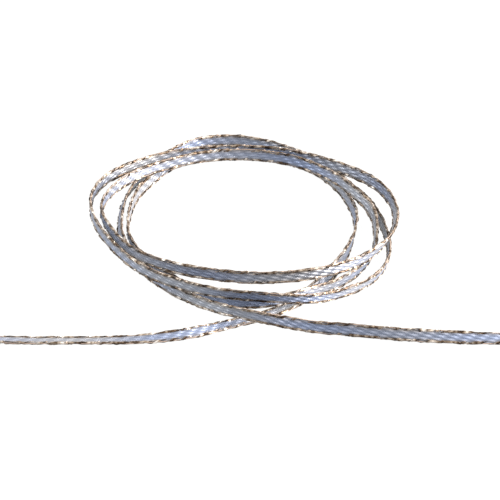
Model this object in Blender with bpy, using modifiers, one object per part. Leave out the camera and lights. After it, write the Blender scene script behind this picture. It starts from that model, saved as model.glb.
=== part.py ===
"""Metallic ribbon: a narrow woven satin ribbon with metal thread along both edges, in a loose coil.

The ribbon is one strip, swept along a smooth curve through the points of its route. It stands on edge for
the four turns of the coil, and its tails cross in front and lie away to both sides. Metres, +Z up. The
origin is the middle of the coil's footprint, on the surface that the ribbon rests on.
"""

import math
from typing import NamedTuple

import bpy
import numpy as np

MM = 0.001
RIBBON_WIDTH = 3.0 * MM
RIBBON_THICKNESS = 1.0 * MM
SECTION_STEP = 2.5 * MM

SATIN_COLOR = (0.66, 0.72, 0.86, 1.0)
SATIN_ROUGHNESS = 0.45
SATIN_METALLIC = 0.1


class Waypoint(NamedTuple):
    """A point of the route: its place, the lower edge's lift, in mm, and the strip's lean, in degrees.

    The lean is measured from upright, towards the inside of the coil. At 90 the strip lies flat.
    """

    x: float
    y: float
    lift: float
    lean: float


# The turns run anticlockwise, seen from above, and each one starts at the coil's right side or front.
LEFT_TAIL = (
    Waypoint(-58.0, -44.5, 0.0, 90),
    Waypoint(-48.0, -45.0, 0.0, 90),
    Waypoint(-38.0, -45.0, 0.0, 90),
    Waypoint(-27.5, -45.0, 0.0, 84),
    Waypoint(-12.5, -42.5, 0.0, 70),
    Waypoint(-5.5, -39.0, 0.0, 80),
    Waypoint(8.5, -31.0, 0.0, 82),
    Waypoint(13.5, -25.5, 0.0, 70),
)
FIRST_TURN = (
    Waypoint(18.0, -19.0, 0.0, 45),
    Waypoint(24.5, 0.0, 0.0, -10),
    Waypoint(25.0, 9.0, 0.0, -16),
    Waypoint(23.2, 17.5, 0.0, -12),
    Waypoint(18.6, 27.7, 0.0, -9),
    Waypoint(11.1, 35.2, 0.0, -4),
    Waypoint(-9.0, 38.0, 0.0, -5),
    Waypoint(-16.5, 35.0, 0.0, -8),
    Waypoint(-22.2, 27.3, 0.0, -8),
    Waypoint(-25.9, 19.3, 0.0, -6),
    Waypoint(-27.6, 9.9, 0.0, -2),
    Waypoint(-27.2, -2.2, 0.0, -2),
    Waypoint(-22.8, -12.5, 0.0, -2),
    Waypoint(-8.5, -29.0, 0.3, 0),
    Waypoint(-1.0, -33.5, 1.6, 0),
)
SECOND_TURN = (
    Waypoint(6.0, -33.5, 2.1, 0),
    Waypoint(13.0, -30.5, 2.3, 0),
    Waypoint(20.0, -23.5, 0.6, -5),
    Waypoint(25.0, -17.0, 0.1, -12),
    Waypoint(28.5, -9.0, 0.0, -20),
    Waypoint(29.6, 0.0, 0.6, -18),
    Waypoint(28.5, 8.5, 2.0, -20),
    Waypoint(24.5, 14.5, 3.5, -12),
    Waypoint(18.0, 23.5, 3.5, -8),
    Waypoint(10.0, 29.5, 3.5, -6),
    Waypoint(0.5, 32.0, 3.5, -6),
    Waypoint(-9.0, 31.5, 3.5, -5),
    Waypoint(-18.0, 28.0, 3.5, 0),
    Waypoint(-26.5, 22.0, 3.5, 0),
    Waypoint(-32.0, 14.0, 3.5, 0),
    Waypoint(-34.0, 5.0, 3.5, 0),
    Waypoint(-32.0, -3.0, 3.5, 0),
    Waypoint(-27.0, -13.0, 3.5, 0),
    Waypoint(-9.5, -23.7, 3.5, 8),
)
THIRD_TURN = (
    Waypoint(-0.5, -25.8, 3.7, 9),
    Waypoint(9.5, -26.3, 4.2, 7),
    Waypoint(19.5, -23.5, 4.5, 0),
    Waypoint(26.5, -17.5, 3.9, -5),
    Waypoint(31.3, -10.0, 3.6, -24),
    Waypoint(33.7, 8.5, 3.5, -18),
    Waypoint(28.9, 19.3, 3.5, -15),
    Waypoint(21.7, 25.8, 3.5, -14),
    Waypoint(12.5, 31.0, 3.5, -10),
    Waypoint(1.5, 34.0, 3.5, -6),
    Waypoint(-9.0, 33.5, 3.5, -5),
    Waypoint(-18.5, 31.5, 3.5, 0),
    Waypoint(-26.5, 27.0, 3.5, 0),
    Waypoint(-33.3, 20.2, 3.5, 0),
    Waypoint(-36.5, 10.0, 3.5, 0),
    Waypoint(-35.2, -0.5, 3.5, 0),
    Waypoint(-30.3, -12.4, 3.5, 0),
    Waypoint(-23.5, -22.5, 3.6, 0),
    Waypoint(-15.5, -29.0, 3.9, 0),
)
FOURTH_TURN = (
    Waypoint(-8.0, -33.5, 4.5, -8),
    Waypoint(-0.5, -35.5, 4.7, -15),
    Waypoint(7.0, -37.0, 4.9, -16),
    Waypoint(15.0, -35.0, 3.7, -16),
    Waypoint(23.0, -28.0, 1.6, -16),
    Waypoint(29.0, -20.0, 0.4, -18),
    Waypoint(32.2, -10.5, 0.0, -13),
    Waypoint(31.8, 1.5, 0.0, -12),
    Waypoint(28.4, 14.0, 0.0, -18),
    Waypoint(23.0, 24.0, 0.0, -22),
    Waypoint(16.1, 34.3, 0.0, -14),
    Waypoint(7.6, 41.4, 0.0, -9),
    Waypoint(-2.0, 45.5, 0.0, -7),
    Waypoint(-11.5, 44.5, 0.0, 0),
    Waypoint(-24.6, 28.4, 0.0, 14),
    Waypoint(-28.5, 18.5, 0.0, 24),
    Waypoint(-29.7, 8.0, 0.0, 23),
    Waypoint(-28.7, -4.0, 0.0, 16),
    Waypoint(-16.8, -25.2, 0.0, 3),
    Waypoint(-9.5, -32.5, 0.7, 0),
)
RIGHT_TAIL = (
    Waypoint(-3.0, -38.5, 2.2, 0),
    Waypoint(2.5, -40.5, 2.1, 0),
    Waypoint(8.5, -41.0, 1.0, 6),
    Waypoint(16.0, -41.6, 0.0, 12),
    Waypoint(34.5, -44.5, 0.0, 26),
    Waypoint(44.5, -45.2, 0.0, 42),
    Waypoint(52.0, -45.3, 0.0, 58),
    Waypoint(58.5, -45.0, 0.0, 68),
)
ROUTE = LEFT_TAIL + FIRST_TURN + SECOND_TURN + THIRD_TURN + FOURTH_TURN + RIGHT_TAIL


def clear_scene():
    for leftover in list(bpy.data.objects):
        bpy.data.objects.remove(leftover, do_unlink=True)


def spline_bends(at, values):
    """Second derivatives, at the knots, of the natural cubic spline through them."""
    gaps = np.diff(at)
    slopes = np.diff(values, axis=0) / gaps[:, None]
    system = np.eye(len(at))
    targets = np.zeros_like(values)
    for i in range(1, len(at) - 1):
        system[i, i - 1 : i + 2] = gaps[i - 1], 2 * (gaps[i - 1] + gaps[i]), gaps[i]
        targets[i] = 6 * (slopes[i] - slopes[i - 1])
    return np.linalg.solve(system, targets)


def smooth_route(route, step):
    """Rows of x, y, lift and lean about one step apart, on a smooth curve through the waypoints."""
    knots = np.array(route) * (MM, MM, MM, math.radians(1))
    plan_steps = np.linalg.norm(np.diff(knots[:, :2], axis=0), axis=1)
    at = np.concatenate([[0.0], np.cumsum(plan_steps)])
    bends = spline_bends(at, knots)
    where = np.linspace(0.0, at[-1], round(at[-1] / step) + 1)
    after = np.clip(np.searchsorted(at, where, side="right"), 1, len(at) - 1)
    gap = (at[after] - at[after - 1])[:, None]
    ahead = (at[after] - where)[:, None] / gap
    behind = 1 - ahead
    straight = ahead * knots[after - 1] + behind * knots[after]
    bowed = (ahead**3 - ahead) * bends[after - 1] + (behind**3 - behind) * bends[after]
    return straight + bowed * gap**2 / 6


def centreline(route, step):
    """Points of the strip's middle line and its lean there. The lower edge never dips under the surface."""
    rows = smooth_route(route, step)
    lean = np.minimum(rows[:, 3], math.pi / 2)
    lift = np.maximum(rows[:, 2], 0.0)
    edge_drop = RIBBON_WIDTH / 2 * np.cos(lean) + RIBBON_THICKNESS / 2 * np.abs(np.sin(lean))
    points = np.column_stack([rows[:, 0], rows[:, 1], lift + edge_drop])
    return points, lean


def satin_material():
    material = bpy.data.materials.new("ribbon_satin")
    material.use_nodes = True
    shader = material.node_tree.nodes["Principled BSDF"]
    shader.inputs["Base Color"].default_value = SATIN_COLOR
    shader.inputs["Roughness"].default_value = SATIN_ROUGHNESS
    shader.inputs["Metallic"].default_value = SATIN_METALLIC
    return material


def ribbon(collection):
    """The whole ribbon: an upright strip on its middle line, tilted by its lean and given its thickness."""
    points, leans = centreline(ROUTE, SECTION_STEP)
    curve = bpy.data.curves.new("ribbon", "CURVE")
    curve.dimensions = "3D"
    curve.twist_mode = "Z_UP"
    curve.extrude = RIBBON_WIDTH / 2
    curve.materials.append(satin_material())
    spline = curve.splines.new("POLY")
    spline.points.add(len(points) - 1)
    for knot, place, lean in zip(spline.points, points, leans):
        knot.co = (*place, 1.0)
        knot.tilt = -lean
    strip = bpy.data.objects.new("ribbon", curve)
    collection.objects.link(strip)
    wall = strip.modifiers.new("thickness", "SOLIDIFY")
    wall.thickness = RIBBON_THICKNESS
    wall.offset = 0.0
    wall.use_even_offset = True
    return strip


def main():
    clear_scene()
    collection = bpy.data.collections.new("metallic_ribbon")
    bpy.context.scene.collection.children.link(collection)
    ribbon(collection)


main()
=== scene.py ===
"""Looks of the metallic ribbon: woven satin, twisted metallic thread along both edges, in a loose coil."""

import logging
import math
from dataclasses import dataclass
from enum import Enum
from typing import NamedTuple

import bpy
import numpy as np
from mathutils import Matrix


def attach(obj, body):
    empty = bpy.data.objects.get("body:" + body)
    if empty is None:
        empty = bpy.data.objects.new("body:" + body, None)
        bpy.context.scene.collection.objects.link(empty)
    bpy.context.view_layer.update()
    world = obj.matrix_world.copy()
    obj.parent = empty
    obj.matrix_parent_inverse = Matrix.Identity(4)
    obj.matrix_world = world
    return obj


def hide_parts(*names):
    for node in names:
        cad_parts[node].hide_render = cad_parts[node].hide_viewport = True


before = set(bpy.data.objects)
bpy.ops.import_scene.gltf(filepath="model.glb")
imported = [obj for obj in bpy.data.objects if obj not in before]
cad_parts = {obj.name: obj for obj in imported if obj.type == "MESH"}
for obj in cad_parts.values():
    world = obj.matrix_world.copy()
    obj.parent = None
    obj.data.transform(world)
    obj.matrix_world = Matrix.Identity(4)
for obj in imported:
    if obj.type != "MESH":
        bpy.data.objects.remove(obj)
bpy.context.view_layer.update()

MM = 0.001
CAD_RIBBON = "ribbon"
RIBBON_WIDTH = 3.0 * MM
PATH_STEP = 1.0 * MM
UV_MAP = "lengthways"

MATH = "ShaderNodeMath"
COLOUR_RAMP = "ShaderNodeValToRGB"
MAP_RANGE = "ShaderNodeMapRange"
# A mix node's sockets for numbers and for colours have the same names. These are the colours' places.
MIX_A = 6
MIX_B = 7
MIX_RESULT = 2

Inputs = dict[str | int, object]

log = logging.getLogger("metallic_ribbon")


class Waypoint(NamedTuple):
    """A point of the route.

    Attributes:
        x: Its place to the right, in mm.
        y: Its place to the back, in mm.
        lift: The lower edge's height above the table, in mm.
        lean: The lean from upright towards the inside of the coil, in degrees. At 90 the ribbon lies flat.
    """

    x: float
    y: float
    lift: float
    lean: float


# The turns run anticlockwise, seen from above
LEFT_TAIL = (
    Waypoint(-58.0, -44.5, 0.0, 90),
    Waypoint(-48.0, -45.0, 0.0, 90),
    Waypoint(-38.0, -45.0, 0.0, 90),
    Waypoint(-27.5, -45.0, 0.0, 84),
    Waypoint(-12.5, -42.5, 0.0, 70),
    Waypoint(-5.5, -39.0, 0.0, 80),
    Waypoint(8.5, -31.0, 0.0, 82),
    Waypoint(13.5, -25.5, 0.0, 70),
)
FIRST_TURN = (
    Waypoint(18.0, -19.0, 0.0, 45),
    Waypoint(24.5, 0.0, 0.0, -10),
    Waypoint(25.0, 9.0, 0.0, -16),
    Waypoint(23.2, 17.5, 0.0, -12),
    Waypoint(18.6, 27.7, 0.0, -9),
    Waypoint(11.1, 35.2, 0.0, -4),
    Waypoint(-9.0, 38.0, 0.0, -5),
    Waypoint(-16.5, 35.0, 0.0, -8),
    Waypoint(-22.2, 27.3, 0.0, -8),
    Waypoint(-25.9, 19.3, 0.0, -6),
    Waypoint(-27.6, 9.9, 0.0, -2),
    Waypoint(-27.2, -2.2, 0.0, -2),
    Waypoint(-22.8, -12.5, 0.0, -2),
    Waypoint(-8.5, -29.0, 0.3, 0),
    Waypoint(-1.0, -33.5, 1.6, 0),
)
SECOND_TURN = (
    Waypoint(6.0, -33.5, 2.1, 0),
    Waypoint(13.0, -30.5, 2.3, 0),
    Waypoint(20.0, -23.5, 0.6, -5),
    Waypoint(25.0, -17.0, 0.1, -12),
    Waypoint(28.5, -9.0, 0.0, -20),
    Waypoint(29.6, 0.0, 0.6, -18),
    Waypoint(28.5, 8.5, 2.0, -20),
    Waypoint(24.5, 14.5, 3.5, -12),
    Waypoint(18.0, 23.5, 3.5, -8),
    Waypoint(10.0, 29.5, 3.5, -6),
    Waypoint(0.5, 32.0, 3.5, -6),
    Waypoint(-9.0, 31.5, 3.5, -5),
    Waypoint(-18.0, 28.0, 3.5, 0),
    Waypoint(-26.5, 22.0, 3.5, 0),
    Waypoint(-32.0, 14.0, 3.5, 0),
    Waypoint(-34.0, 5.0, 3.5, 0),
    Waypoint(-32.0, -3.0, 3.5, 0),
    Waypoint(-27.0, -13.0, 3.5, 0),
    Waypoint(-9.5, -23.7, 3.5, 8),
)
THIRD_TURN = (
    Waypoint(-0.5, -25.8, 3.7, 9),
    Waypoint(9.5, -26.3, 4.2, 7),
    Waypoint(19.5, -23.5, 4.5, 0),
    Waypoint(26.5, -17.5, 3.9, -5),
    Waypoint(31.3, -10.0, 3.6, -24),
    Waypoint(33.7, 8.5, 3.5, -18),
    Waypoint(28.9, 19.3, 3.5, -15),
    Waypoint(21.7, 25.8, 3.5, -14),
    Waypoint(12.5, 31.0, 3.5, -10),
    Waypoint(1.5, 34.0, 3.5, -6),
    Waypoint(-9.0, 33.5, 3.5, -5),
    Waypoint(-18.5, 31.5, 3.5, 0),
    Waypoint(-26.5, 27.0, 3.5, 0),
    Waypoint(-33.3, 20.2, 3.5, 0),
    Waypoint(-36.5, 10.0, 3.5, 0),
    Waypoint(-35.2, -0.5, 3.5, 0),
    Waypoint(-30.3, -12.4, 3.5, 0),
    Waypoint(-23.5, -22.5, 3.6, 0),
    Waypoint(-15.5, -29.0, 3.9, 0),
)
FOURTH_TURN = (
    Waypoint(-8.0, -33.5, 4.5, -8),
    Waypoint(-0.5, -35.5, 4.7, -15),
    Waypoint(7.0, -37.0, 4.9, -16),
    Waypoint(15.0, -35.0, 3.7, -16),
    Waypoint(23.0, -28.0, 1.6, -16),
    Waypoint(29.0, -20.0, 0.4, -18),
    Waypoint(32.2, -10.5, 0.0, -13),
    Waypoint(31.8, 1.5, 0.0, -12),
    Waypoint(28.4, 14.0, 0.0, -18),
    Waypoint(23.0, 24.0, 0.0, -22),
    Waypoint(16.1, 34.3, 0.0, -14),
    Waypoint(7.6, 41.4, 0.0, -9),
    Waypoint(-2.0, 45.5, 0.0, -7),
    Waypoint(-11.5, 44.5, 0.0, 0),
    Waypoint(-24.6, 28.4, 0.0, 14),
    Waypoint(-28.5, 18.5, 0.0, 24),
    Waypoint(-29.7, 8.0, 0.0, 23),
    Waypoint(-28.7, -4.0, 0.0, 16),
    Waypoint(-16.8, -25.2, 0.0, 3),
    Waypoint(-9.5, -32.5, 0.7, 0),
)
RIGHT_TAIL = (
    Waypoint(-3.0, -38.5, 2.2, 0),
    Waypoint(2.5, -40.5, 2.1, 0),
    Waypoint(8.5, -41.0, 1.0, 6),
    Waypoint(16.0, -41.6, 0.0, 12),
    Waypoint(34.5, -44.5, 0.0, 26),
    Waypoint(44.5, -45.2, 0.0, 42),
    Waypoint(52.0, -45.3, 0.0, 58),
    Waypoint(58.5, -45.0, 0.0, 68),
)
WAYPOINTS = LEFT_TAIL + FIRST_TURN + SECOND_TURN + THIRD_TURN + FOURTH_TURN + RIGHT_TAIL


# Helpers for colours, nodes and meshes


def linear(hex_code: str) -> tuple[float, float, float, float]:
    """Turns an sRGB colour into the linear one that a shader works in.

    Args:
        hex_code: Six hexadecimal digits, with or without a leading hash.

    Returns:
        Red, green, blue and an alpha of 1.
    """
    digits = hex_code.lstrip("#")
    parts = [int(digits[i : i + 2], 16) / 255 for i in (0, 2, 4)]
    red, green, blue = (c / 12.92 if c <= 0.04045 else ((c + 0.055) / 1.055) ** 2.4 for c in parts)
    return (red, green, blue, 1.0)


def feed(node: bpy.types.Node, inputs: Inputs) -> None:
    """Sets or links a node's inputs.

    Args:
        node: The node.
        inputs: What each input gets: a value, the socket that feeds it, or a node whose first output does.
    """
    for name, value in inputs.items():
        source = value.outputs[0] if isinstance(value, bpy.types.Node) else value
        if isinstance(source, bpy.types.NodeSocket):
            node.id_data.links.new(source, node.inputs[name])
        else:
            node.inputs[name].default_value = source


def add_node(
    tree: bpy.types.NodeTree,
    kind: str,
    inputs: Inputs | None = None,
    stops: tuple[tuple[float, str], ...] = (),
    **settings: object,
) -> bpy.types.Node:
    """Adds a node with its settings, its inputs and, where it is a colour ramp, its stops.

    Args:
        tree: The node tree that it goes in.
        kind: The node's type, such as ShaderNodeTexNoise.
        inputs: What its inputs get, as feed takes it.
        stops: Each stop's place on the ramp, from 0 to 1, and its sRGB colour.
        **settings: The node's own properties.

    Returns:
        The new node.
    """
    node = tree.nodes.new(kind)
    for name, setting in settings.items():
        setattr(node, name, setting)
    feed(node, inputs or {})
    if stops:
        elements = node.color_ramp.elements
        while len(elements) < len(stops):
            elements.new(1.0)
        for element, (place, colour) in zip(elements, stops):
            element.position = place
            element.color = linear(colour)
    return node


def new_material(name: str) -> tuple[bpy.types.Material, bpy.types.NodeTree, bpy.types.Node]:
    """Makes a material with one Principled shader.

    Args:
        name: The material's name, which says what it is and how it is made.

    Returns:
        The material, its node tree and its shader.
    """
    material = bpy.data.materials.new(name)
    material.use_nodes = True
    tree = material.node_tree
    return material, tree, tree.nodes["Principled BSDF"]


def swept_mesh(
    name: str, tubes: list[np.ndarray], distance: np.ndarray, around: np.ndarray
) -> bpy.types.Object:
    """Joins rings of points into closed tubes with capped ends, as one object.

    Its UV map holds the distance along the ribbon in mm, and the place on the section.

    Args:
        name: The object's name.
        tubes: For each tube, its points as an array of stations by ring points by three.
        distance: How far along the ribbon each station is.
        around: The place of each ring point on the section, with one more for the ring's closing edge.

    Returns:
        The new object, with its place in its mesh.
    """
    points, faces, uvs = [], [], []
    start = 0
    for rings in tubes:
        count, ring = rings.shape[:2]
        points.append(rings.reshape(-1, 3))
        station, slot = np.meshgrid(np.arange(count - 1), np.arange(ring), indexing="ij")
        here, there = station * ring, (station + 1) * ring
        after = (slot + 1) % ring
        quads = np.stack([here + slot, there + slot, there + after, here + after], axis=-1)
        faces += (quads.reshape(-1, 4) + start).tolist()
        near, far = distance[station] / MM, distance[station + 1] / MM
        low, high = around[slot], around[slot + 1]
        lengthways = np.stack([near, far, far, near], axis=-1)
        crossways = np.stack([low, low, high, high], axis=-1)
        uvs.append(np.stack([lengthways, crossways], axis=-1).reshape(-1, 2))
        first = np.arange(ring)
        last = first[::-1] + (count - 1) * ring
        for cap, end in ((first, distance[0]), (last, distance[-1])):
            faces.append((cap + start).tolist())
            uvs.append(np.column_stack([np.full(ring, end / MM), around[:ring]]))
        start += count * ring
    mesh = bpy.data.meshes.new(name)
    mesh.from_pydata(np.concatenate(points).tolist(), [], faces)
    layer = mesh.uv_layers.new(name=UV_MAP)
    layer.data.foreach_set("uv", np.concatenate(uvs).astype(np.float32).ravel())
    mesh.update()
    piece = bpy.data.objects.new(name, mesh)
    bpy.context.scene.collection.objects.link(piece)
    return piece


def face_outwards(piece: bpy.types.Object, crease: float) -> None:
    """Turns a piece's faces outwards and shades it smooth up to an angle.

    Args:
        piece: The piece, a closed mesh.
        crease: Edges sharper than this stay crisp, in degrees.
    """
    bpy.ops.object.select_all(action="DESELECT")
    piece.select_set(True)
    bpy.context.view_layer.objects.active = piece
    bpy.ops.object.mode_set(mode="EDIT")
    bpy.ops.mesh.select_all(action="SELECT")
    bpy.ops.mesh.normals_make_consistent(inside=False)
    bpy.ops.object.mode_set(mode="OBJECT")
    bpy.ops.object.shade_smooth_by_angle(angle=math.radians(crease))
    piece.select_set(False)


# The ribbon's way


@dataclass(frozen=True)
class Wander:
    """An uneven swing to and fro along the ribbon.

    Attributes:
        reach: How far it swings to each side, at most.
        wave: The usual length of a swing.
    """

    reach: float
    wave: float

    def at(self, distance: np.ndarray, seed: int) -> np.ndarray:
        """Gives the swing at places along the ribbon.

        Args:
            distance: Where it is wanted, from the left end.
            seed: Picks one of many such swings.

        Returns:
            One value for each distance.
        """
        generator = np.random.default_rng(seed)
        knots = np.arange(0.0, distance[-1] + 2 * self.wave, self.wave / 2)
        return self.reach * np.interp(distance, knots, generator.uniform(-1.0, 1.0, len(knots)))


@dataclass(frozen=True)
class Stations:
    """Places along the ribbon, with the ways that it faces at each of them.

    Attributes:
        middle: The middle line's points.
        width_way: Unit vectors from the lower edge to the upper one.
        face_way: Unit vectors out of the face on the inside of the coil.
        distance: How far along the middle line each place is.
    """

    middle: np.ndarray
    width_way: np.ndarray
    face_way: np.ndarray
    distance: np.ndarray

    def place(self, up: np.ndarray, out: np.ndarray) -> np.ndarray:
        """Turns offsets from the middle line into points.

        Args:
            up: Offsets along the width, one row for each station.
            out: Offsets along the face's normal, in the same shape.

        Returns:
            Points, as an array of stations by offsets by three.
        """
        return (
            self.middle[:, None, :]
            + up[:, :, None] * self.width_way[:, None, :]
            + out[:, :, None] * self.face_way[:, None, :]
        )


@dataclass(frozen=True)
class Route:
    """The ribbon's way across the table and over itself, the same as in the CAD.

    Attributes:
        waypoints: The points that it passes through.
        width: The ribbon's width.
        thickness: The cloth's thickness, which lifts its middle line where it leans.
        proud: How far the twisted threads stand out below the cloth and carry it.
    """

    waypoints: tuple[Waypoint, ...] = WAYPOINTS
    width: float = RIBBON_WIDTH
    thickness: float = 0.42 * MM
    proud: float = 0.22 * MM

    @staticmethod
    def bends(at: np.ndarray, values: np.ndarray) -> np.ndarray:
        """Gives the second derivatives, at the knots, of the natural cubic spline through them.

        Args:
            at: Where the knots are along the spline.
            values: What the spline passes through, one row for each knot.

        Returns:
            The second derivatives, in the shape of values.
        """
        gaps = np.diff(at)
        slopes = np.diff(values, axis=0) / gaps[:, None]
        system = np.eye(len(at))
        targets = np.zeros_like(values)
        for i in range(1, len(at) - 1):
            system[i, i - 1 : i + 2] = gaps[i - 1], 2 * (gaps[i - 1] + gaps[i]), gaps[i]
            targets[i] = 6 * (slopes[i] - slopes[i - 1])
        return np.linalg.solve(system, targets)

    def rows(self, step: float) -> np.ndarray:
        """Samples a smooth curve through the waypoints.

        Args:
            step: The distance between samples, seen from above.

        Returns:
            Rows of x, y, lift and lean, in metres and radians.
        """
        knots = np.array(self.waypoints) * (MM, MM, MM, math.radians(1))
        plan_steps = np.linalg.norm(np.diff(knots[:, :2], axis=0), axis=1)
        at = np.concatenate([[0.0], np.cumsum(plan_steps)])
        bends = self.bends(at, knots)
        where = np.linspace(0.0, at[-1], round(at[-1] / step) + 1)
        after = np.clip(np.searchsorted(at, where, side="right"), 1, len(at) - 1)
        gap = (at[after] - at[after - 1])[:, None]
        ahead = (at[after] - where)[:, None] / gap
        behind = 1 - ahead
        straight = ahead * knots[after - 1] + behind * knots[after]
        bowed = (ahead**3 - ahead) * bends[after - 1] + (behind**3 - behind) * bends[after]
        return straight + bowed * gap**2 / 6

    def stations(self, step: float) -> Stations:
        """Stands the ribbon on its route, on its lower edge or laid over by its lean.

        Args:
            step: The distance between stations.

        Returns:
            The stations from the left tail's end to the right tail's.
        """
        rows = self.rows(step)
        lean = np.minimum(rows[:, 3], math.pi / 2)
        lift = np.maximum(rows[:, 2], 0.0)
        edge_drop = self.width / 2 * np.cos(lean) + self.thickness / 2 * np.abs(np.sin(lean))
        middle = np.column_stack([rows[:, 0], rows[:, 1], lift + edge_drop + self.proud])
        along = np.gradient(middle, axis=0)
        along /= np.linalg.norm(along, axis=1)[:, None]
        inwards = np.column_stack([-along[:, 1], along[:, 0], np.zeros(len(along))])
        inwards /= np.linalg.norm(inwards, axis=1)[:, None]
        upwards = np.cross(along, inwards)
        turn = np.cos(lean)[:, None]
        lay = np.sin(lean)[:, None]
        steps = np.linalg.norm(np.diff(middle, axis=0), axis=1)
        return Stations(
            middle=middle,
            width_way=turn * upwards + lay * inwards,
            face_way=turn * inwards - lay * upwards,
            distance=np.concatenate([[0.0], np.cumsum(steps)]),
        )


# Finishes


@dataclass(frozen=True)
class Weave:
    """The satin's pattern: lengthwise ribs, each of a row of slanted floats. All lengths are in mm.

    The real ribbon's floats are smaller and too fine to show in the picture, so they are drawn as coarse as
    the streaks and dashes that its sheen makes there.

    Attributes:
        half_width: The satin's reach from the middle line, up to the metallic threads.
        ribs: How many ribs lie side by side.
        float_length: The length of a float.
        slant: How far a float runs on along the ribbon for each mm across it.
        stagger: How far each rib's floats are moved on from the last rib's, in floats.
        dip: How high a rib stays between two floats, as a share of its full height.
    """

    half_width: float = 1.0
    ribs: int = 3
    float_length: float = 3.0
    slant: float = 1.0
    stagger: float = 0.5
    dip: float = 0.3

    @property
    def rib_width(self) -> float:
        """The width of one rib."""
        return 2 * self.half_width / self.ribs

    def crowns(self, distance: np.ndarray, across: np.ndarray) -> np.ndarray:
        """Gives how high the satin is raised, from 0 between ribs to 1 at a float's middle.

        Args:
            distance: Places along the ribbon, in mm.
            across: Places across it, in mm from the middle line.

        Returns:
            An array of distances by places across.
        """
        rib = np.clip((across + self.half_width) / self.rib_width, 0, self.ribs - 1e-6)
        row, inside = np.divmod(rib, 1.0)
        slanted = distance[:, None] + self.slant * across[None, :]
        phase = slanted / self.float_length + self.stagger * row[None, :]
        swell = np.sin(np.pi * phase) ** 2
        return np.sin(np.pi * inside)[None, :] * (self.dip + (1 - self.dip) * swell)


class Floats(NamedTuple):
    """What the satin's nodes know of each place on the weave.

    Attributes:
        across: How far it is from the middle line, in mm.
        swell: From 0 at a float's ends to 1 at its middle.
        raised: The same, and 0 between ribs too.
        chance: A number of its own for each float, from 0 to 1.
        filaments: The fine lengthwise streaks, from 0 to 1.
    """

    across: bpy.types.NodeSocket
    swell: bpy.types.Node
    raised: bpy.types.Node
    chance: bpy.types.Node
    filaments: bpy.types.Node


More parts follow.
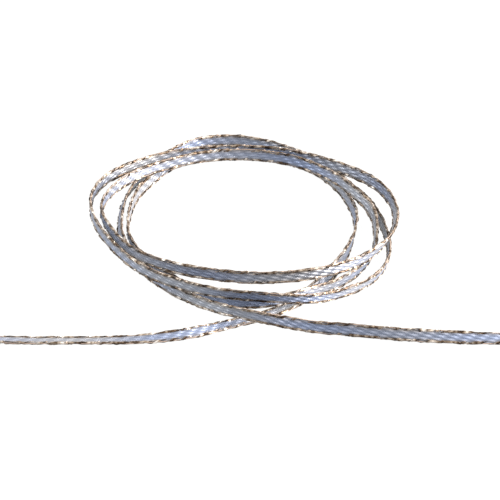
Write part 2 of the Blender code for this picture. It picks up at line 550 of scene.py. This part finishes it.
@dataclass(frozen=True)
class SatinFinish:
    """Polyester satin, woven on a narrow loom from bright, untwisted filament yarn and dyed silver-white.

    Its warp floats over several weft threads at a time, so the face is nearly all parallel filaments. They
    give a broad soft sheen where the light falls on the ribbon, dashes of light where a float bulges, and a
    cool blue grey in the shade. Its colour also carries a painted highlight on each float's top and painted
    shade between floats.

    Attributes:
        weave: The same ribs and floats as the mesh has.
        crest_highlight: The colour on top of a float, lighter than the cloth's own as a painted highlight.
        valley_shade: The colour between floats, darker as a painted shade.
        float_light_share: How much a float's height counts in its tone, which paints its top lighter and its
            gaps darker.
        dye_share: How much the dye counts, which each float takes up a little differently.
        filament_share: How much the filaments count.
        tone_range: The tones at which the colour is the valley's and the crest's.
        grey_tint: The tint where the cloth is a plain silver.
        blue_tint: The tint where it is bluer.
        tint_range: The slow noise at which each tint is full.
        tint_wave: The length over which the tint changes, in mm.
        tint_spread: The tint's waves for each mm across the ribbon. It hardly changes there.
        edge_tint: The warm tint beside the metallic threads, whose colour spreads over the cloth.
        edge_reach: Where that tint starts and is full, in mm from the middle line.
        roughness: That of bright satin.
        metallic: Stands in for the mirror-like gloss of parallel filaments. The yarn has no metal in it.
        anisotropic: How far the sheen is drawn out.
        sheen_turn: The sheen's turn from the threads' direction, in whole turns.
        filament: The width of a streak, in mm. Real filaments are finer than the picture can show, so each
            streak stands for several.
        streak_stretch: The streaks' waves for each mm along the ribbon.
        float_height: How much a float bulges lengthways, in mm, as the shading has it.
        crown_height: How much it bulges crossways too, in mm.
        filament_height: The height of the streaks, in mm.
    """

    weave: Weave = Weave()
    crest_highlight: str = "#9da3ad"
    valley_shade: str = "#7f858f"
    float_light_share: float = 0.4
    dye_share: float = 0.14
    filament_share: float = 0.4
    tone_range: tuple[float, float] = (0.15, 0.72)
    grey_tint: str = "#faf8f7"
    blue_tint: str = "#d8e3fc"
    tint_range: tuple[float, float] = (0.38, 0.62)
    tint_wave: float = 30.0
    tint_spread: float = 0.05
    edge_tint: str = "#eedfcb"
    edge_reach: tuple[float, float] = (0.35, 1.1)
    roughness: float = 0.45
    metallic: float = 0.62
    anisotropic: float = 0.75
    sheen_turn: float = 0.25
    filament: float = 0.11
    streak_stretch: float = 0.3
    float_height: float = 0.12
    crown_height: float = 0.06
    filament_height: float = 0.014

    def floats(self, tree: bpy.types.NodeTree, place: bpy.types.Node) -> Floats:
        """Draws the weave from the UV map, with the same sums as Weave.crowns.

        Args:
            tree: The material's node tree.
            place: The UV map, in mm.

        Returns:
            The weave's nodes.
        """
        weave = self.weave
        split = add_node(tree, "ShaderNodeSeparateXYZ", {0: place})
        along, across = split.outputs[0], split.outputs[1]
        rib = add_node(
            tree, MATH, {0: across, 1: 1 / weave.rib_width, 2: weave.ribs / 2}, operation="MULTIPLY_ADD"
        )
        row = add_node(tree, MATH, {0: rib}, operation="FLOOR")
        inside = add_node(tree, MATH, {0: rib}, operation="FRACT")
        slanted = add_node(tree, MATH, {0: across, 1: weave.slant, 2: along}, operation="MULTIPLY_ADD")
        stagger = add_node(tree, MATH, {0: row, 1: weave.stagger}, operation="MULTIPLY")
        phase = add_node(
            tree, MATH, {0: slanted, 1: 1 / weave.float_length, 2: stagger}, operation="MULTIPLY_ADD"
        )
        part = add_node(tree, MATH, {0: phase}, operation="FRACT")
        half_turn = add_node(tree, MATH, {0: part, 1: math.pi}, operation="MULTIPLY")
        wave = add_node(tree, MATH, {0: half_turn}, operation="SINE")
        swell = add_node(tree, MATH, {0: wave, 1: wave}, operation="MULTIPLY")
        arch = add_node(tree, MATH, {0: inside, 1: math.pi}, operation="MULTIPLY")
        crown = add_node(tree, MATH, {0: arch}, operation="SINE")
        number = add_node(tree, MATH, {0: phase}, operation="FLOOR")
        cell = add_node(tree, "ShaderNodeCombineXYZ", {0: number, 1: row})
        streaks = add_node(
            tree,
            "ShaderNodeMapping",
            {"Vector": place, "Scale": (self.streak_stretch, 1 / self.filament, 1.0)},
        )
        return Floats(
            across=across,
            swell=swell,
            raised=add_node(tree, MATH, {0: swell, 1: crown}, operation="MULTIPLY"),
            chance=add_node(tree, "ShaderNodeTexWhiteNoise", {0: cell}, noise_dimensions="2D"),
            filaments=add_node(tree, "ShaderNodeTexNoise", {"Vector": streaks, "Scale": 1.0, "Detail": 2.0}),
        )

    def colour(self, tree: bpy.types.NodeTree, place: bpy.types.Node, floats: Floats) -> bpy.types.NodeSocket:
        """Colours the satin: each float its own tone, a painted highlight on its top and painted shade
        between floats, a slow drift of tint, and warm beside the threads.

        Args:
            tree: The material's node tree.
            place: The UV map, in mm.
            floats: The weave's nodes.

        Returns:
            The colour's socket.
        """
        dye = add_node(tree, MATH, {0: floats.chance, 1: self.dye_share}, operation="MULTIPLY")
        # Each float's height paints its top lighter and the gaps darker: painted highlight and painted shade,
        # added to the dye's random tone.
        dyed = add_node(
            tree, MATH, {0: floats.raised, 1: self.float_light_share, 2: dye}, operation="MULTIPLY_ADD"
        )
        fine = add_node(tree, MATH, {0: floats.filaments, 1: self.filament_share}, operation="MULTIPLY")
        tone = add_node(tree, MATH, {0: dyed, 1: fine}, operation="ADD")
        # From the valley's painted shade to the crest's painted highlight.
        tones = tuple(zip(self.tone_range, (self.valley_shade, self.crest_highlight)))
        shades = add_node(tree, COLOUR_RAMP, {0: tone}, stops=tones)
        drift_scale = (1 / self.tint_wave, self.tint_spread, 1.0)
        slow = add_node(tree, "ShaderNodeMapping", {"Vector": place, "Scale": drift_scale})
        drift = add_node(tree, "ShaderNodeTexNoise", {"Vector": slow, "Scale": 1.0, "Detail": 0.0})
        tints = tuple(zip(self.tint_range, (self.grey_tint, self.blue_tint)))
        tint = add_node(tree, COLOUR_RAMP, {0: drift}, stops=tints)
        multiply = {"data_type": "RGBA", "blend_type": "MULTIPLY"}
        tinted = add_node(tree, "ShaderNodeMix", {0: 1.0, MIX_A: shades, MIX_B: tint}, **multiply)
        start, full = self.edge_reach
        reach = add_node(tree, MATH, {0: floats.across}, operation="ABSOLUTE")
        nearness = add_node(tree, MAP_RANGE, {"Value": reach, "From Min": start, "From Max": full})
        warm = {0: nearness, MIX_A: tinted.outputs[MIX_RESULT], MIX_B: linear(self.edge_tint)}
        warmed = add_node(tree, "ShaderNodeMix", warm, **multiply)
        return warmed.outputs[MIX_RESULT]

    def relief(self, tree: bpy.types.NodeTree, floats: Floats) -> bpy.types.Node:
        """Bulges each float and ridges its filaments.

        Args:
            tree: The material's node tree.
            floats: The weave's nodes.

        Returns:
            The bump.
        """
        bulge = add_node(tree, MATH, {0: floats.swell, 1: self.float_height}, operation="MULTIPLY")
        crowned = add_node(
            tree, MATH, {0: floats.raised, 1: self.crown_height, 2: bulge}, operation="MULTIPLY_ADD"
        )
        ridged = add_node(
            tree, MATH, {0: floats.filaments, 1: self.filament_height, 2: crowned}, operation="MULTIPLY_ADD"
        )
        # Heights are in mm, so the bump's distance is 1 mm.
        return add_node(tree, "ShaderNodeBump", {"Strength": 1.0, "Distance": MM, "Height": ridged})

    def material(self) -> bpy.types.Material:
        """Builds the material on the piece's UV map.

        Returns:
            The satin.
        """
        material, tree, shader = new_material("woven_polyester_satin")
        place = add_node(tree, "ShaderNodeUVMap", uv_map=UV_MAP)
        floats = self.floats(tree, place)
        feed(
            shader,
            {
                "Base Color": self.colour(tree, place, floats),
                "Normal": self.relief(tree, floats),
                "Tangent": add_node(tree, "ShaderNodeTangent", direction_type="UV_MAP", uv_map=UV_MAP),
                "Roughness": self.roughness,
                "Metallic": self.metallic,
                "Anisotropic": self.anisotropic,
                "Anisotropic Rotation": self.sheen_turn,
            },
        )
        return material


@dataclass(frozen=True)
class MetallicThreadFinish:
    """Old gold metallic thread: metallised film, lacquered gold, cut in narrow strips and twisted.

    Each strip is a small mirror. Its colour is laid in random patches, pale and dark brown, which stand for
    strips throwing the light back and turned away from it: painted glints and painted shade on top of the
    metal's own reflections, so the thread sparkles in short dashes.

    Attributes:
        shades: The ramp from painted shade, where a strip seems turned away, to painted glints where it seems
            turned to the light.
        patch: The length of a patch of one painted shade or glint, in mm.
        round_waves: How many times the painted shade or glint changes round a strip.
        metallic: Metal under a thin lacquer.
        roughness: That of a creased film.
    """

    # Painted shade and painted glints: dark stops for strips turned away from the light, pale ones for strips
    # turned to it.
    shades: tuple[tuple[float, str], ...] = (
        (0.36, "#251a12"),
        (0.45, "#4f4032"),
        (0.52, "#7b6f62"),
        (0.60, "#a39b92"),
        (0.71, "#d0cdc9"),
    )
    patch: float = 2.0
    round_waves: float = 0.8
    metallic: float = 0.7
    roughness: float = 0.38

    def material(self) -> bpy.types.Material:
        """Builds the material on the piece's UV map.

        Returns:
            The metallic thread.
        """
        material, tree, shader = new_material("twisted_metallic_foil_thread")
        place = add_node(tree, "ShaderNodeUVMap", uv_map=UV_MAP)
        patches = add_node(
            tree, "ShaderNodeMapping", {"Vector": place, "Scale": (1 / self.patch, self.round_waves, 1.0)}
        )
        # Random patches of painted shade and painted glint along the thread.
        painted_glint_noise = {"Vector": patches, "Scale": 1.0, "Detail": 2.0, "Roughness": 0.6}
        noise = add_node(tree, "ShaderNodeTexNoise", painted_glint_noise)
        shades = add_node(tree, COLOUR_RAMP, {0: noise}, stops=self.shades)
        feed(shader, {"Base Color": shades, "Metallic": self.metallic, "Roughness": self.roughness})
        return material


@dataclass(frozen=True)
class CoreYarnFinish:
    """Spun polyester yarn, dyed brown: matt and even, with no shine of its own.

    Attributes:
        colour: Its brown.
        roughness: That of spun yarn.
    """

    colour: str = "#7d7067"
    roughness: float = 0.6

    def material(self) -> bpy.types.Material:
        """Builds the yarn's material.

        Returns:
            The yarn.
        """
        material, _, shader = new_material("dull_brown_core_yarn")
        feed(shader, {"Base Color": linear(self.colour), "Roughness": self.roughness})
        return material


@dataclass(frozen=True)
class TableFinish:
    """A matt white table, so brightly lit in the photo that it has no tone and no shadow left.

    Attributes:
        colour: What it gives back of the studio's light. It is dark, so that no shadow shows.
        glow: Its own white, which stands in for the bright light on it.
        roughness: That of a matt table.
    """

    colour: str = "#333333"
    glow: float = 0.98
    roughness: float = 0.9

    def material(self) -> bpy.types.Material:
        """Builds the table's material.

        Returns:
            The table's white.
        """
        material, _, shader = new_material("matt_white_table")
        feed(
            shader,
            {
                "Base Color": linear(self.colour),
                "Roughness": self.roughness,
                "Specular IOR Level": 0.0,
                "Emission Color": linear("#ffffff"),
                "Emission Strength": self.glow,
            },
        )
        return material


# The ribbon's pieces


@dataclass(frozen=True)
class WovenBody:
    """The satin between the edges, with its ribs and floats raised on both faces.

    Attributes:
        route: The ribbon's way.
        weave: Its ribs and floats.
        thickness: Its thickness at a float's middle.
        relief: How far a float's middle stands above the valleys between ribs.
        selvedge: How far the thin selvedge runs on under the metallic threads.
        thinning: How many times thinner the selvedge is.
        steps_a_rib: The mesh's strips across each rib.
        section_step: The distance between its sections.
        crease: Edges sharper than this stay crisp, in degrees.
        finish: Its material.
    """

    route: Route
    weave: Weave = Weave()
    thickness: float = 0.46 * MM
    relief: float = 0.09 * MM
    selvedge: float = 0.24 * MM
    thinning: float = 3.0
    steps_a_rib: int = 5
    section_step: float = 0.37 * MM
    crease: float = 60.0
    finish: SatinFinish = SatinFinish()

    def build(self) -> bpy.types.Object:
        """Builds the body's mesh.

        Returns:
            The body, in its material.
        """
        stations = self.route.stations(self.section_step)
        weave = self.weave
        places = np.linspace(-weave.half_width, weave.half_width, weave.ribs * self.steps_a_rib + 1)
        raised = self.relief * weave.crowns(stations.distance / MM, places)
        thin = np.full((len(raised), 1), self.thickness / 2 / self.thinning)
        out = np.concatenate([thin, self.thickness / 2 - self.relief + raised, thin], axis=1)
        reach = weave.half_width + self.selvedge / MM
        places = np.concatenate([[-reach], places, [reach]])
        there_and_back = np.concatenate([places, places[::-1]])
        up = np.broadcast_to(there_and_back * MM, (len(out), len(there_and_back)))
        rings = stations.place(up, np.concatenate([out, -out[:, ::-1]], axis=1))
        around = np.append(there_and_back, places[0])
        piece = swept_mesh("satin_body", [rings], stations.distance, around)
        face_outwards(piece, self.crease)
        piece.data.materials.append(self.finish.material())
        return piece


class EdgeSide(Enum):
    """The two edges of the ribbon, as signs along its width."""

    UPPER = 1
    LOWER = -1


@dataclass(frozen=True)
class MetallicEdge:
    """The metallic thread woven along one edge: two narrow foil strips twisted round each other.

    Attributes:
        route: The ribbon's way.
        side: Which edge it is.
        seed: Picks how unevenly it winds.
        seed_gap: How far the second strip's seed is from the first one's.
        offset: The thread's distance from the ribbon's middle line.
        twist_radius: How far each strip's middle is from the thread's.
        pitch: The length of one turn. The real twist is too fine to make out in the photo. So half a turn,
            with one strip on top, is about as long as a dark dash of the thread is there.
        foil_width: The width of a strip.
        foil_thickness: Its thickness at the middle.
        flat: The share of its width that has that thickness, before it thins to its edges.
        slack: How far the twist runs ahead or behind, in radians.
        bulge: How far the twist opens or closes, as a share of its radius.
        stray: How far the thread leaves its line.
        section_step: The distance between its sections.
        crease: Edges sharper than this stay crisp, in degrees.
    """

    route: Route
    side: EdgeSide
    seed: int
    seed_gap: int = 10
    offset: float = 1.17 * MM
    twist_radius: float = 0.21 * MM
    pitch: float = 6.6 * MM
    foil_width: float = 0.6 * MM
    foil_thickness: float = 0.18 * MM
    flat: float = 0.6
    slack: Wander = Wander(2.6, 4.3 * MM)
    bulge: Wander = Wander(0.5, 1.7 * MM)
    stray: Wander = Wander(0.08 * MM, 3.3 * MM)
    section_step: float = 0.26 * MM
    crease: float = 50.0

    def ply(self, stations: Stations, start: float, seed: int) -> np.ndarray:
        """Winds one foil strip along the edge.

        Args:
            stations: The ribbon's stations.
            start: The strip's turn about the thread at the left end, in radians.
            seed: Picks how unevenly it winds.

        Returns:
            The strip's rings of points.
        """
        distance = stations.distance
        turn = start + 2 * math.pi * distance / self.pitch + self.slack.at(distance, seed)
        radius = self.twist_radius * (1 + self.bulge.at(distance, seed + 1))
        centre = self.side.value * (self.offset + self.stray.at(distance, seed + 2))
        # The strip's section, a flat six-sided ring.
        half, thin = self.foil_width / 2, self.foil_thickness / 2
        near = self.flat * half
        wide = np.array([half, near, -near, -half, -near, near])
        deep = np.array([0.0, thin, thin, 0.0, -thin, -thin])
        cos = np.cos(turn)[:, None]
        sin = np.sin(turn)[:, None]
        up = centre[:, None] + (radius[:, None] + deep) * cos - wide * sin
        out = (radius[:, None] + deep) * sin + wide * cos
        return stations.place(up, out)

    def build(self, material: bpy.types.Material) -> bpy.types.Object:
        """Builds the edge's mesh.

        Args:
            material: The metallic thread's material.

        Returns:
            The edge, in that material.
        """
        stations = self.route.stations(self.section_step)
        tubes = [self.ply(stations, k * math.pi, self.seed + k * self.seed_gap) for k in range(2)]
        sides = tubes[0].shape[1]
        around = np.arange(sides + 1) / sides
        piece = swept_mesh(f"metallic_edge_{self.side.name.lower()}", tubes, stations.distance, around)
        face_outwards(piece, self.crease)
        piece.data.materials.append(material)
        return piece


@dataclass(frozen=True)
class CoreThread:
    """The yarn that the foil is twisted on, which shows between its turns right at both edges.

    Attributes:
        route: The ribbon's way.
        offset: The yarn's distance from the ribbon's middle line.
        radius: Its radius.
        stray: How far it leaves its line.
        seeds: Pick how it strays at the upper and at the lower edge.
        sides: The sides of its section.
        section_step: The distance between its sections.
        crease: Edges sharper than this stay crisp, in degrees.
        finish: Its material.
    """

    route: Route
    offset: float = 1.36 * MM
    radius: float = 0.11 * MM
    stray: Wander = Wander(0.04 * MM, 2.7 * MM)
    seeds: tuple[int, int] = (91, 95)
    sides: int = 5
    section_step: float = 0.5 * MM
    crease: float = 80.0
    finish: CoreYarnFinish = CoreYarnFinish()

    def build(self) -> bpy.types.Object:
        """Builds both edges' yarn as one piece.

        Returns:
            The yarn, in its material.
        """
        stations = self.route.stations(self.section_step)
        angles = np.arange(self.sides) * 2 * math.pi / self.sides
        tubes = []
        for side, seed in zip(EdgeSide, self.seeds):
            centre = side.value * (self.offset + self.stray.at(stations.distance, seed))
            up = centre[:, None] + self.radius * np.sin(angles)
            out = np.broadcast_to(self.radius * np.cos(angles), up.shape)
            tubes.append(stations.place(up, out))
        around = np.arange(self.sides + 1) / self.sides
        piece = swept_mesh("core_threads", tubes, stations.distance, around)
        face_outwards(piece, self.crease)
        piece.data.materials.append(self.finish.material())
        return piece


# The studio


@dataclass(frozen=True)
class SoftLight:
    """A square soft light that faces the coil.

    Attributes:
        name: Its name.
        azimuth: Its bearing from the coil, in degrees, from +X towards +Y.
        elevation: Its height angle, in degrees.
        power: Its power, in watts.
        colour: Its sRGB colour.
        away: Its distance from the coil.
        side: The length of its side.
    """

    name: str
    azimuth: float
    elevation: float
    power: float
    colour: str
    away: float = 1.2
    side: float = 0.8

    def add(self) -> None:
        """Adds the light."""
        turn, rise = math.radians(self.azimuth), math.radians(self.elevation)
        level = self.away * math.cos(rise)
        data = bpy.data.lights.new(self.name, "AREA")
        data.size = self.side
        data.energy = self.power
        data.color = linear(self.colour)[:3]
        light = bpy.data.objects.new(self.name, data)
        light.location = (level * math.cos(turn), level * math.sin(turn), self.away * math.sin(rise))
        light.rotation_euler = (math.pi / 2 - rise, 0.0, turn + math.pi / 2)
        bpy.context.scene.collection.objects.link(light)


@dataclass(frozen=True)
class Studio:
    """The white table, the room's light, the soft lights and the camera.

    The photo's light comes from the right, a little from the front and low, and leaves the faces that look to
    the front in a soft bluish shade.

    Attributes:
        aim: The point at the middle of the picture.
        distance: The camera's distance from it.
        elevation: The camera's height angle, in degrees.
        pixels_per_metre: The photo's scale at the coil.
        image_side: The photo's side, in pixels.
        sensor: The camera's sensor width, in mm.
        table_side: The table's side.
        table: The table's finish.
        front_shade: How much a direction's way to the front dims the room there, against its height.
        shade_range: The sums of height and way to the back at which the room is darkest and brightest.
        room_range: How bright it is there.
        low_colour: The room's bluish colour where it is darkest.
        high_colour: Its warm white where it is brightest.
        hue_range: The brightness at which each of these colours is full.
        lights: The soft lights.
    """

    aim: tuple[float, float, float] = (0.5 * MM, -7.0 * MM, 1.72 * MM)
    distance: float = 1.0
    elevation: float = 30.0
    pixels_per_metre: float = 4350.0
    image_side: float = 500.0
    sensor: float = 36.0
    table_side: float = 4.0
    table: TableFinish = TableFinish()
    front_shade: float = 0.8
    shade_range: tuple[float, float] = (-0.7, 0.9)
    room_range: tuple[float, float] = (0.22, 1.5)
    low_colour: str = "#dce6ff"
    high_colour: str = "#fffbf6"
    hue_range: tuple[float, float] = (0.45, 1.0)
    lights: tuple[SoftLight, ...] = (
        SoftLight("fill_from_the_left", azimuth=180.0, elevation=30.0, power=9.0, colour="#ffffff"),
        SoftLight("key_from_the_right", azimuth=-12.0, elevation=26.0, power=86.0, colour="#fff5eb"),
    )

    def add_camera(self) -> None:
        """Adds the camera at the photo's angle, with a long lens, and shows colours without a film curve."""
        rise = math.radians(self.elevation)
        data = bpy.data.cameras.new("camera")
        data.sensor_width = self.sensor
        data.lens = self.sensor * self.pixels_per_metre * self.distance / self.image_side
        camera = bpy.data.objects.new("camera", data)
        x, y, z = self.aim
        camera.location = (x, y - self.distance * math.cos(rise), z + self.distance * math.sin(rise))
        camera.rotation_euler = (math.pi / 2 - rise, 0.0, 0.0)
        bpy.context.scene.collection.objects.link(camera)
        bpy.context.scene.camera = camera
        bpy.context.scene.view_settings.view_transform = "Standard"

    def add_room(self) -> None:
        """Lights the coil from all round, most from above and behind it and least from the front."""
        world = bpy.data.worlds.new("white_room")
        world.use_nodes = True
        tree = world.node_tree
        way = add_node(tree, "ShaderNodeTexCoord")
        split = add_node(tree, "ShaderNodeSeparateXYZ", {0: way.outputs["Generated"]})
        back, height = split.outputs[1], split.outputs[2]
        lit = add_node(tree, MATH, {0: back, 1: self.front_shade, 2: height}, operation="MULTIPLY_ADD")
        darkest, brightest = self.shade_range
        low, high = self.room_range
        level = add_node(
            tree,
            MAP_RANGE,
            {"Value": lit, "From Min": darkest, "From Max": brightest, "To Min": low, "To Max": high},
        )
        hues = tuple(zip(self.hue_range, (self.low_colour, self.high_colour)))
        hue = add_node(tree, COLOUR_RAMP, {0: level}, stops=hues)
        feed(tree.nodes["Background"], {"Color": hue, "Strength": level})
        bpy.context.scene.world = world

    def add_table(self) -> None:
        """Adds the table."""
        bpy.ops.object.select_all(action="DESELECT")
        bpy.ops.mesh.primitive_plane_add(size=self.table_side, location=(0.0, 0.0, 0.0))
        table = bpy.context.object
        table.name = "white_table"
        table.data.materials.append(self.table.material())

    def build(self) -> None:
        """Sets up the whole studio."""
        self.add_camera()
        self.add_room()
        for light in self.lights:
            light.add()
        self.add_table()


def declare(body: bpy.types.Object, edges: list[bpy.types.Object], route: Route) -> None:
    """Tells the frame what each piece rides on, hides the CAD's ribbon, which they replace, and logs the
    ribbon's length.

    Args:
        body: The satin body, the ribbon's flat strip.
        edges: The pieces that lie along its edges.
        route: The ribbon's way.
    """
    stations = route.stations(PATH_STEP)
    for piece in (body, *edges):
        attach(piece, "root")
    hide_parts(CAD_RIBBON)
    log.info("ribbon length %.1f mm", stations.distance[-1] / MM)


def main() -> None:
    """Builds the studio and the ribbon, and reports each piece."""
    logging.basicConfig(level=logging.INFO, format="%(name)s: %(message)s")
    bpy.ops.object.select_all(action="DESELECT")
    Studio().build()
    route = Route()
    body = WovenBody(route).build()
    thread = MetallicThreadFinish().material()
    edges = [
        MetallicEdge(route, EdgeSide.UPPER, seed=3).build(thread),
        MetallicEdge(route, EdgeSide.LOWER, seed=57).build(thread),
        CoreThread(route).build(),
    ]
    declare(body, edges, route)
    for piece in (body, *edges):
        log.info("%s: %d faces", piece.name, len(piece.data.polygons))


if __name__ == "__main__":
    main()
